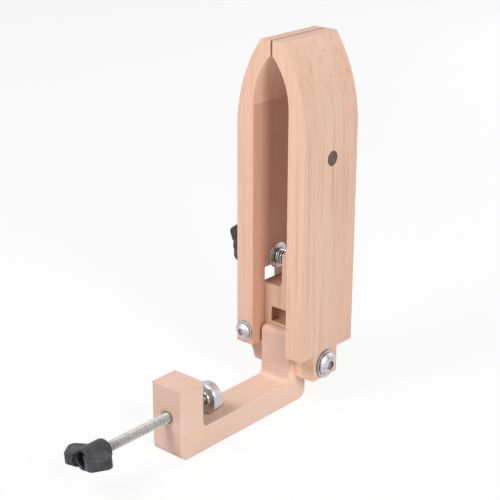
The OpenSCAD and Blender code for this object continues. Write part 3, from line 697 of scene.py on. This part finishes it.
def thread(bm, start, end, radius, pitch, depth, place):
    """Right-handed threaded rod along Z from start to end, bevelled and closed by a spiral at each end."""
    turns = math.ceil((end - start) / pitch) + 3
    end_radius = radius - 2 * depth
    rows = []
    for k in range(turns * THREAD_STEPS + 1):
        turn = k / THREAD_STEPS
        angle = math.tau * k / THREAD_STEPS
        row = []
        for share, sunk in THREAD_CORNERS:
            height = start - pitch + (turn + share - 1) * pitch
            past = max(start - height, height - end, 0.0) / pitch
            flat = min(max(height, start), end)
            r = min(radius - depth * sunk, end_radius + (flat - start), end_radius + (end - flat))
            r *= max(0.0, 1.0 - past)
            row.append(bm.verts.new(place @ Vector((r * math.cos(angle), r * math.sin(angle), flat))))
        rows.append(row)
    for k in range(len(rows) - 1):
        here, after = rows[k], rows[k + 1]
        for a in range(len(THREAD_CORNERS) - 1):
            bm.faces.new((here[a], after[a], after[a + 1], here[a + 1]))
        if k + THREAD_STEPS + 1 < len(rows):
            bm.faces.new((here[-1], after[-1], rows[k + THREAD_STEPS + 1][0], rows[k + THREAD_STEPS][0]))
    bmesh.ops.remove_doubles(bm, verts=bm.verts, dist=2 * WELD_REACH)
    bmesh.ops.dissolve_degenerate(bm, edges=bm.edges, dist=WELD_REACH)
    bmesh.ops.holes_fill(bm, edges=[e for e in bm.edges if e.is_boundary], sides=0)
    bmesh.ops.recalc_face_normals(bm, faces=bm.faces)


# The knob: outline of its hub as shares of radius and length, half thickness of a wing at its corners,
# and the sunk panel on each side of a wing with its rim, its slope and its depth
HUB_OUTLINE = ((0, 0), (0.84, 0), (0.93, 0.02), (1, 0.08), (1, 0.6), (0.95, 1), (0, 1))
WING_HALVES = (4 * MM, 3 * MM, 3 * MM)
WING_STEPS = 32
PANEL_RIM, PANEL_SLOPE, PANEL_DEPTH = 1.5 * MM, 0.7 * MM, 0.45 * MM
WING_CORE = 1.6 * MM  # half thickness within which nothing is sunk
SKIN_CELL = 0.34 * MM  # grid that the skin over hub and wings is drawn on


def wing_corners(knob):
    """Places (x, z, radius) of the three rounded corners of a wing in the knob's own frame."""
    root = (knob.hub_radius / 2, knob.hub_length * 0.72, knob.hub_radius * 0.95)
    bend = knob.wing_reach * 0.21
    tip = (knob.wing_reach - bend, knob.wing_far * 0.54, bend)
    far = (knob.wing_reach * 0.54, knob.wing_far - bend, bend)
    return root, tip, far


def wing_depth(x, z, corners):
    """How deep a point lies inside a wing's outline, in metres."""
    inside = []
    for k, (ax, az, ar) in enumerate(corners):
        bx, bz, br = corners[(k + 1) % 3]
        run = Vector((bx - ax, bz - az))
        lean = math.asin(max(-1.0, min(1.0, (ar - br) / run.length)))
        along = math.atan2(run.y, run.x)
        out = along - math.pi / 2 + lean
        normal = Vector((math.cos(out), math.sin(out)))
        inside.append(ar - (Vector((x, z)) - Vector((ax, az))).dot(normal))
    return min(inside)


def knob_mesh(knob, name):
    """Moulded knob with two wings, its axis along Z and its base at z = 0."""
    bm = bmesh.new()
    hub, length = knob.hub_radius, knob.hub_length
    lathe(bm, [(hub * radius, length * height) for radius, height in HUB_OUTLINE], Matrix(), around=96)
    corners = wing_corners(knob)
    for side in (1, -1):
        points = []
        for (x, z, r), half in zip(corners, WING_HALVES):
            for k in range(WING_STEPS):
                a = math.tau * k / WING_STEPS
                for y in (-half, half):
                    points.append(bm.verts.new((side * (x + r * math.cos(a)), y, z + r * math.sin(a))))
        made = bmesh.ops.convex_hull(bm, input=points)
        bmesh.ops.delete(bm, geom=[v for v in made["geom_interior"] if isinstance(v, bmesh.types.BMVert)],
                         context="VERTS")
    bmesh.ops.recalc_face_normals(bm, faces=bm.faces)

    # One skin over hub and wings, with moulded edges
    rough = object_from(name + " rough", bm)
    rough_mesh = rough.data
    skin = rough.modifiers.new("One skin", "REMESH")
    skin.mode = "VOXEL"
    skin.voxel_size = SKIN_CELL
    smooth = rough.modifiers.new("Moulded edges", "SMOOTH")
    smooth.factor = 0.5
    smooth.iterations = 7
    evaluated = rough.evaluated_get(bpy.context.evaluated_depsgraph_get())
    bm = bmesh.new()
    bm.from_mesh(evaluated.to_mesh())
    evaluated.to_mesh_clear()
    bpy.data.objects.remove(rough)
    bpy.data.meshes.remove(rough_mesh)

    # The sunk panels
    for v in bm.verts:
        away = abs(v.co.x)
        if away < hub or abs(v.co.y) <= WING_CORE:
            continue
        deep = wing_depth(away, v.co.z, corners)
        share = max(0.0, min(1.0, (deep - PANEL_RIM) / PANEL_SLOPE)) * max(0.0, min(1.0, (away - hub) / MM))
        v.co.y -= math.copysign(PANEL_DEPTH * share * share * (3 - 2 * share), v.co.y)
    return bm


def knob_bores(knob, name):
    """Solid that cuts a knob's bore and the round dish in its end."""
    bm = bmesh.new()
    bore = ROD_RADIUS + 0.06 * MM
    floor = knob.hub_length - knob.dish_depth
    lip, top = knob.hub_length, knob.wing_far + MM
    dish = knob.dish_radius
    lathe(bm, [
        (0, -MM), (bore, -MM), (bore, floor), (dish - 0.5 * MM, floor), (dish - 0.1 * MM, floor + 0.3 * MM),
        (dish, floor + 0.9 * MM), (dish, lip - 0.7 * MM), (dish + 0.15 * MM, lip - 0.3 * MM),
        (dish + 0.6 * MM, lip + 0.1 * MM), (dish + 0.6 * MM, top), (0, top)
    ], Matrix(), around=64)
    bmesh.ops.recalc_face_normals(bm, faces=bm.faces)
    return object_from(name, bm)


def add_knob(knob, name, node, body, place, material):
    """Puts one finished knob in place of its CAD node."""
    piece = new_piece(name, knob_mesh(knob, name), material)
    cutter = knob_bores(knob, name + " bores")
    cut = piece.modifiers.new("Bores", "BOOLEAN")
    cut.operation = "DIFFERENCE"
    cut.solver = "EXACT"
    cut.object = cutter
    done = bpy.data.meshes.new_from_object(piece.evaluated_get(bpy.context.evaluated_depsgraph_get()))
    piece.modifiers.clear()
    piece.data = done
    bpy.data.meshes.remove(cutter.data)
    done.transform(place)
    smooth_over(done, crease=38)
    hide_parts(node)
    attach(piece, body)


COIL_STEPS, WIRE_SIDES = 40, 12
CLOSED_RISE = 1.03  # rise of a closed turn in wire thicknesses


def coil_mesh(coil, low, high):
    """Round wire wound about the jaw bolt between the low and the high corner of its space."""
    wire_r = coil.wire / 2
    radius = (high.z - low.z) / 2 - wire_r
    closed, turns = coil.closed_turns, coil.closed_turns * 2 + coil.open_turns
    first, last = low.x + wire_r, high.x - wire_r
    rise = coil.wire * CLOSED_RISE
    stride = (last - first - 2 * closed * rise) / coil.open_turns

    def height(turn):
        """Place along the bolt after so many turns."""
        if turn < closed:
            return first + rise * turn
        if turn > turns - closed:
            return last - rise * (turns - turn)
        return first + rise * closed + stride * (turn - closed)

    def sag(x):
        """Drop of the coil's middle: none on the prong, most beyond half way to the moving jaw."""
        return coil.sag * math.sin(0.7 * math.pi * (high.x - x) / (high.x - low.x))

    def point(turn):
        """Middle of the wire after so many turns."""
        angle, x = math.tau * turn, height(turn)
        return Vector((x, BOLT_AXIS.y + radius * math.cos(angle),
                       BOLT_AXIS.z - sag(x) + radius * math.sin(angle)))

    rings = []
    bm = bmesh.new()
    for k in range(turns * COIL_STEPS + 1):
        turn = k / COIL_STEPS
        here = point(turn)
        ahead = (point(min(turn + 0.01, turns)) - point(max(turn - 0.01, 0))).normalized()
        out = Vector((0, math.cos(math.tau * turn), math.sin(math.tau * turn)))
        out = (out - ahead * out.dot(ahead)).normalized()
        side = ahead.cross(out)
        rings.append([
            bm.verts.new(here + wire_r * (math.cos(math.tau * s / WIRE_SIDES) * out
                                          + math.sin(math.tau * s / WIRE_SIDES) * side))
            for s in range(WIRE_SIDES)
        ])
    for here, after in zip(rings, rings[1:]):
        for s in range(WIRE_SIDES):
            t = (s + 1) % WIRE_SIDES
            bm.faces.new((here[s], here[t], after[t], after[s]))
    bm.faces.new(rings[0])
    bm.faces.new(rings[-1])
    bmesh.ops.recalc_face_normals(bm, faces=bm.faces)
    return bm


# Operators

class CLAMP_OT_woodwork(Operator):
    """Gives the jaws, the block, the arm and the dowels their beech and sanded edges"""
    bl_idname = "clamp.woodwork"
    bl_label = "Woodwork"

    def execute(self, context):
        wood = context.scene.clamp_wood
        round_off = wood.edge_round
        light = wood.light_wood
        # The jaws' insides and grips are painted darker as shade
        fixed_jaw = beech("Beech, fixed jaw", wood, light, "Z", heart=(-46, -60, 0), pinkness=0.3, rings=0.13,
                          shade_places=JAW_INSIDE_SHADE, dark=wood.inside_shade)
        dress("fixed_jaw", fixed_jaw, round_off)
        moving_jaw = beech("Beech, moving jaw", wood, light, "Z", heart=(70, -52, 40), pinkness=0.85, rings=0.15,
                           streaks=0.3, shade_places=JAW_INSIDE_SHADE, dark=wood.inside_shade)
        dress("moving_jaw", moving_jaw, round_off)
        # The block's pocket and shoulder are painted darker as shade
        block = beech("Beech, block", wood, light, "Z", heart=(38, 90, 80), pinkness=0.2,
                      shade_places=POCKET_SHADE, dark=wood.pocket_shade)
        dress("centre_block", block, round_off * 0.8)
        arm = beech("Beech, arm", wood, wood.arm_wood, "Y", heart=(-48, 12, 0), pinkness=0.05, rings=0.11,
                    streaks=0.18)
        dress("arm", arm, round_off)
        dress("block_dowels", arm, round_off / 2)
        return {"FINISHED"}


class CLAMP_OT_hardware(Operator):
    """Gives the screws, washers, disc, inserts and magnet their metals and broken edges"""
    bl_idname = "clamp.hardware"
    bl_label = "Hardware"

    def execute(self, context):
        tone = context.scene.clamp_metal
        # Radii in mm between which the painted shade round a rod thins out: on the washers round the bolt, and
        # round the bores of the inserts
        rod = ROD_RADIUS / MM
        near_bolt, near_bore = (rod + 0.3, rod + 3.0), (rod + 0.1, rod + 1.1)
        # Pivot and hinge carry painted shade and dark reflection on their rims
        pivot = metal("Bright steel, pivot", tone.steel, tone.tarnish_and_shade, PIVOT_AXIS, "X",
                      wear=0.7, gloss=0.3, rim=0.9)
        hinge = metal("Bright steel, hinge", tone.steel, tone.tarnish_and_shade, HINGE_AXIS, "Y", gloss=0.36, rim=0.9)
        # The washers on the jaw bolt carry a painted dark ring of shade round the bolt
        bolt = metal("Bright steel, jaw bolt", tone.steel, tone.grime_and_shade, BOLT_AXIS, "X",
                     roots=near_bolt, turned=0.85)
        disc = metal("Turned steel, disc", tone.steel, tone.tarnish_and_shade, SCREW_AXIS, "Y",
                     fineness=4.0, wear=0.2, gloss=0.2, turned=0.7)
        # The inserts carry painted shade round their bores
        brass_x = metal("Brass, jaws", tone.brass, tone.grime_and_shade, BOLT_AXIS, "X", wear=0.2, gloss=0.3, roots=near_bore)
        brass_y = metal("Brass, arm", tone.brass, tone.grime_and_shade, SCREW_AXIS, "Y", wear=0.2, gloss=0.3, roots=near_bore)
        magnet = matt("Dark magnet", swatch(96, 84, 82), swatch(140, 130, 128),
                      dustiness=0.35, grain=2.2, dullness=0.42, metallic=0.5)
        for nodes, material in (
            (("pivot_bolt", "pivot_washer"), pivot),
            (("hinge_screw", "hinge_washers", "hinge_nut"), hinge),
            (("knob_washer", "spring_washer"), bolt),
            (("pressure_disc", "disc_clip"), disc),
            (("pivot_insert", "jaw_insert", "jaw_knob_nut"), brass_x),
            (("clamp_insert", "clamp_knob_nut"), brass_y),
            (("needle_magnet",), magnet),
        ):
            for node in nodes:
                dress(node, material, tone.edge_round, steps=2)
        return {"FINISHED"}


class CLAMP_OT_rods(Operator):
    """Builds the threaded jaw bolt and the threaded clamp screw"""
    bl_idname = "clamp.rods"
    bl_label = "Threaded rods"

    def execute(self, context):
        cut = context.scene.clamp_thread
        tone = context.scene.clamp_metal
        # The thread roots are painted darker as shade
        roots = ((cut.radius - cut.depth) / MM, (cut.radius - 0.2 * cut.depth) / MM)

        # The clamp screw: thread up to its neck in the disc, then a plain end with a groove for the clip
        low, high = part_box("clamp_screw")
        clip_low, clip_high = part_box("disc_clip")
        place = Matrix.Translation((SCREW_AXIS.x, 0, SCREW_AXIS.z)) @ Matrix.Rotation(-math.pi / 2, 4, "X")
        bm = bmesh.new()
        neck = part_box("pressure_disc")[0].y + 0.6 * MM
        thread(bm, low.y, neck, cut.radius, cut.pitch, cut.depth, place)
        plain, groove, bevel = cut.radius - 0.03 * MM, cut.radius * 0.79, 0.3 * MM
        lathe(bm, [
            (0, neck - MM), (cut.radius - cut.depth * 1.3, neck - MM), (plain, neck + 0.2 * MM),
            (plain, clip_low.y), (groove, clip_low.y), (groove, clip_high.y), (plain, clip_high.y),
            (plain, high.y - bevel), (plain - bevel, high.y), (0, high.y)
        ], place, around=32)
        bmesh.ops.recalc_face_normals(bm, faces=bm.faces)
        steel = metal("Rolled thread, clamp screw", tone.rod_steel, tone.grime_and_shade, SCREW_AXIS, "Y",
                      fineness=1.2, wear=0.12, gloss=0.24, roots=roots)
        screw = new_piece("clamp_screw_thread", bm, steel)
        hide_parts("clamp_screw")
        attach(screw, "clamp_screw")

        # The jaw bolt: thread from end to end, painted dark as the shade between the spring's coils
        low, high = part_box("jaw_bolt")
        place = Matrix.Translation((0, BOLT_AXIS.y, BOLT_AXIS.z)) @ Matrix.Rotation(-math.pi / 2, 4, "Y")
        bm = bmesh.new()
        thread(bm, -high.x, -low.x, cut.radius, cut.pitch, cut.depth, place)
        # Its dark colour is painted shade between the spring's coils
        steel = metal("Rolled thread, jaw bolt", tone.tarnish_and_shade, tone.grime_and_shade, BOLT_AXIS, "X",
                      fineness=1.2, wear=0.12, gloss=0.3, roots=roots)
        bolt = new_piece("jaw_bolt_thread", bm, steel)
        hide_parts("jaw_bolt")
        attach(bolt, "jaw_knob")
        return {"FINISHED"}


class CLAMP_OT_knobs(Operator):
    """Builds the two moulded knobs with their wings, dishes and bores"""
    bl_idname = "clamp.knobs"
    bl_label = "Winged knobs"

    def execute(self, context):
        knob = context.scene.clamp_knob
        plastic = matt("Black plastic", knob.plastic, swatch(104, 103, 108),
                       dustiness=0.25, grain=2.6, dullness=0.34)
        at_screw = (Matrix.Translation((SCREW_AXIS.x, KNOB_BASE_Y, SCREW_AXIS.z))
                    @ Matrix.Rotation(math.pi / 2, 4, "X") @ Matrix.Rotation(knob.clamp_turn, 4, "Z"))
        add_knob(knob, "clamp_knob_moulded", "clamp_knob", "clamp_screw", at_screw, plastic)
        at_bolt = (Matrix.Translation((KNOB_BASE_X, BOLT_AXIS.y, BOLT_AXIS.z))
                   @ Matrix.Rotation(-math.pi / 2, 4, "Y") @ Matrix.Rotation(knob.jaw_turn, 4, "Z"))
        add_knob(knob, "jaw_knob_moulded", "jaw_knob", "jaw_knob", at_bolt, plastic)
        return {"FINISHED"}


class CLAMP_OT_spring(Operator):
    """Winds the round wire of the spring on the jaw bolt"""
    bl_idname = "clamp.spring"
    bl_label = "Spring"

    def execute(self, context):
        tone = context.scene.clamp_metal
        low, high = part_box("spring")
        steel = metal("Spring wire", tone.rod_steel, tone.tarnish_and_shade, BOLT_AXIS, "X",
                      fineness=0.8, wear=0.15, gloss=0.16)
        spring = new_piece("spring_wire", coil_mesh(context.scene.clamp_spring, low, high), steel)
        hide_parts("spring")
        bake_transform(spring)
        return {"FINISHED"}


LOOK_AT = (0, -0.02, 0.1)  # middle of the clamp, which the lamps point at
FLOOR_HALF = 4  # metres from the middle of the floor to its edge
FLOOR_GLOW = 0.9  # share of plain white in the floor where it is seen directly


class CLAMP_OT_stage(Operator):
    """Sets the floor, the soft lights, the room and the camera"""
    bl_idname = "clamp.stage"
    bl_label = "Stage"

    def add_light(self, name, place, power, size):
        """Square soft light that looks at the clamp's middle."""
        lamp = bpy.data.lights.new(name, "AREA")
        lamp.energy = power
        lamp.size = size
        light = bpy.data.objects.new(name, lamp)
        light.location = place
        light.rotation_euler = (Vector(LOOK_AT) - Vector(place)).to_track_quat("-Z", "Y").to_euler()
        bpy.context.scene.collection.objects.link(light)

    def seen_directly(self, tree):
        """1 for rays from the camera, from gloss and through clear parts, 0 for the rest."""
        path = tree.add("ShaderNodeLightPath")
        seen = tree.math("MAXIMUM", path.outputs["Is Camera Ray"], path.outputs["Is Glossy Ray"])
        return tree.math("MAXIMUM", seen, path.outputs["Is Transmission Ray"])

    def add_floor(self, color):
        """Pale floor under the clamp that keeps a faint shadow."""
        bm = bmesh.new()
        bmesh.ops.create_grid(bm, x_segments=8, y_segments=8, size=FLOOR_HALF)
        material, tree, shader = new_material("Pale floor")
        out = next(n for n in tree.tree.nodes if n.type == "OUTPUT_MATERIAL")
        shader.inputs["Base Color"].default_value = (*color, 1)
        shader.inputs["Roughness"].default_value = 0.9
        shader.inputs["Specular IOR Level"].default_value = 0.1
        glow = tree.add("ShaderNodeEmission")
        glow.inputs["Color"].default_value = (1, 1, 1, 1)
        mix = tree.add("ShaderNodeMixShader")
        tree.put(tree.math("MULTIPLY", self.seen_directly(tree), FLOOR_GLOW), mix.inputs[0])
        tree.put(shader.outputs["BSDF"], mix.inputs[1])
        tree.put(glow.outputs[0], mix.inputs[2])
        tree.put(mix.outputs[0], out.inputs["Surface"])
        floor = new_piece("floor", bm, material)
        floor.location.z = CAD_BOX[0][2]

    def light_room(self, strength):
        """Even light from all round, before a white background."""
        world = bpy.data.worlds.new("Soft room")
        bpy.context.scene.world = world
        world.use_nodes = True
        world.node_tree.nodes.clear()
        tree = Tree(world.node_tree)
        mix = tree.add("ShaderNodeMixShader")
        tree.put(self.seen_directly(tree), mix.inputs[0])
        for level, socket in ((strength, 1), (1.0, 2)):
            light = tree.add("ShaderNodeBackground")
            light.inputs["Color"].default_value = (1, 1, 1, 1)
            light.inputs["Strength"].default_value = level
            tree.put(light.outputs[0], mix.inputs[socket])
        tree.put(mix.outputs[0], tree.add("ShaderNodeOutputWorld").inputs["Surface"])

    def place_camera(self):
        """Camera where the photograph was taken from."""
        lens = bpy.data.cameras.new("Camera")
        lens.sensor_width = 36
        lens.lens = CAMERA_LENS
        lens.clip_start = 0.01
        camera = bpy.data.objects.new("Camera", lens)
        forward = Vector(CAMERA_FORWARD).normalized()
        right = Vector(CAMERA_RIGHT).normalized()
        up = right.cross(forward)
        tilted_right = right * math.cos(CAMERA_ROLL) + up * math.sin(CAMERA_ROLL)
        tilted_up = up * math.cos(CAMERA_ROLL) - right * math.sin(CAMERA_ROLL)
        turn = Matrix((tilted_right, tilted_up, -forward)).transposed()
        camera.matrix_world = Matrix.Translation(CAMERA_PLACE) @ turn.to_4x4()
        bpy.context.scene.collection.objects.link(camera)
        bpy.context.scene.camera = camera

    def execute(self, context):
        stage = context.scene.clamp_stage
        self.add_floor(stage.floor)
        self.light_room(stage.room)
        for name, place, power, size in (
            ("Key light", (1.1, -0.44, 0.78), stage.key_power, 0.4),
            ("Fill light", (-0.22, -0.88, 1.06), stage.fill_power, 0.6),
            ("Back light", (-0.05, 1.35, 0.4), stage.back_power, 0.5),
            ("Top light", (0.1, 0.1, 1.2), stage.top_power, 0.7),
        ):
            self.add_light(name, place, power, size)
        self.place_camera()
        context.scene.view_settings.view_transform = "Standard"
        return {"FINISHED"}


class CLAMP_PT_sidebar(Panel):
    """Lists the clamp's pieces and their settings"""
    bl_idname = "CLAMP_PT_sidebar"
    bl_label = "Stitching clamp"
    bl_space_type = "VIEW_3D"
    bl_region_type = "UI"
    bl_category = "Stitching clamp"

    def draw(self, context):
        for operator, name, _ in STEPS:
            box = self.layout.box()
            box.operator(operator.bl_idname)
            settings = getattr(context.scene, name)
            for setting in settings.__annotations__:
                box.prop(settings, setting)


# Each step's operator, the name of its settings in the scene, and their class
STEPS = (
    (CLAMP_OT_woodwork, "clamp_wood", WoodSettings),
    (CLAMP_OT_hardware, "clamp_metal", MetalSettings),
    (CLAMP_OT_rods, "clamp_thread", ThreadSettings),
    (CLAMP_OT_knobs, "clamp_knob", KnobSettings),
    (CLAMP_OT_spring, "clamp_spring", SpringSettings),
    (CLAMP_OT_stage, "clamp_stage", StageSettings),
)


def register():
    """Registers the settings, the operators and the panel."""
    for operator, name, settings in STEPS:
        bpy.utils.register_class(settings)
        setattr(bpy.types.Scene, name, PointerProperty(type=settings))
        bpy.utils.register_class(operator)
    bpy.utils.register_class(CLAMP_PT_sidebar)


def unregister():
    """Takes back what register added."""
    bpy.utils.unregister_class(CLAMP_PT_sidebar)
    for operator, name, settings in reversed(STEPS):
        bpy.utils.unregister_class(operator)
        delattr(bpy.types.Scene, name)
        bpy.utils.unregister_class(settings)


def main():
    """Dresses the clamp step by step."""
    register()
    bpy.ops.clamp.woodwork()
    bpy.ops.clamp.hardware()
    bpy.ops.clamp.rods()
    bpy.ops.clamp.knobs()
    bpy.ops.clamp.spring()
    bpy.ops.clamp.stage()


if __name__ == "__main__":
    main()
